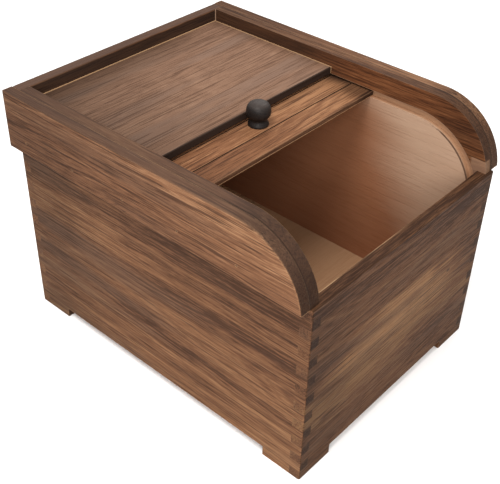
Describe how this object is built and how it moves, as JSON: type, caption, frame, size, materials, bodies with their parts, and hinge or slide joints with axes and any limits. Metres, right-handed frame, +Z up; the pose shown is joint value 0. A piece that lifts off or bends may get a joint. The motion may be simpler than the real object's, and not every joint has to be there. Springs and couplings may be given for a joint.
{
  "type": "bread box with roll top",
  "caption": "Open-top wooden bread box with curved side rails, finger-jointed corners, a fixed top panel behind and a slatted roll top with a knob that slides forward to close.",
  "frame": {"origin": "on the table, under the middle of the box", "axes": "+X to the right seen from the front, +Y from front to back, +Z up"},
  "size_m": [0.26, 0.318, 0.2285],
  "materials": {
    "stained_wood": "brown stain over open grain, matt",
    "slat_wood": "brown stain over open grain, matt",
    "bare_wood": "bare, sanded",
    "black_wood": "near-black paint, satin",
    "canvas": "unbleached cotton",
    "brad_steel": "dark, dull",
    "screw_steel": "zinc plated"
  },
  "bodies": {
    "box": {"side_wall_left": "stained_wood", "side_wall_right": "stained_wood", "front_board": "stained_wood", "back_board": "stained_wood", "floor_panel": "bare_wood", "top_panel": "stained_wood", "rail_left": "stained_wood", "rail_right": "stained_wood", "rail_brads": "brad_steel", "panel_brads": "brad_steel"},
    "roll_tail": {"slat_4": "slat_wood", "slat_5": "slat_wood", "slat_6": "slat_wood", "slat_7": "slat_wood", "slat_8": "slat_wood", "canvas_tail": "canvas"},
    "roll_3": {"slat_3": "slat_wood", "canvas_3": "canvas"},
    "roll_2": {"slat_2": "slat_wood", "canvas_2": "canvas", "knob": "black_wood", "knob_screw": "screw_steel"},
    "roll_1": {"slat_1": "slat_wood", "canvas_1": "canvas"}
  },
  "joints": [
    {"name": "roll_top_slide", "type": "slide", "parent": "box", "child": "roll_tail", "axis": [0, -1, 0], "range_m": [0, 0.11978]},
    {"name": "slat_3_tilt", "type": "hinge", "parent": "roll_tail", "child": "roll_3", "pos_m": [0, 0.03, 0.2026], "axis": [1, 0, 0], "range_deg": [0, 12]},
    {"name": "slat_2_tilt", "type": "hinge", "parent": "roll_3", "child": "roll_2", "pos_m": [0, 0.0075, 0.2026], "axis": [1, 0, 0], "range_deg": [0, 25]},
    {"name": "slat_1_tilt", "type": "hinge", "parent": "roll_2", "child": "roll_1", "pos_m": [0, -0.015, 0.2026], "axis": [1, 0, 0], "range_deg": [0, 22]}
  ],
  "couplings": [
    {"joint": "slat_3_tilt", "follows": "roll_top_slide", "rad_per_m": 1.7076},
    {"joint": "slat_2_tilt", "follows": "roll_top_slide", "rad_per_m": 3.5242},
    {"joint": "slat_1_tilt", "follows": "roll_top_slide", "rad_per_m": 3.1179}
  ]
}
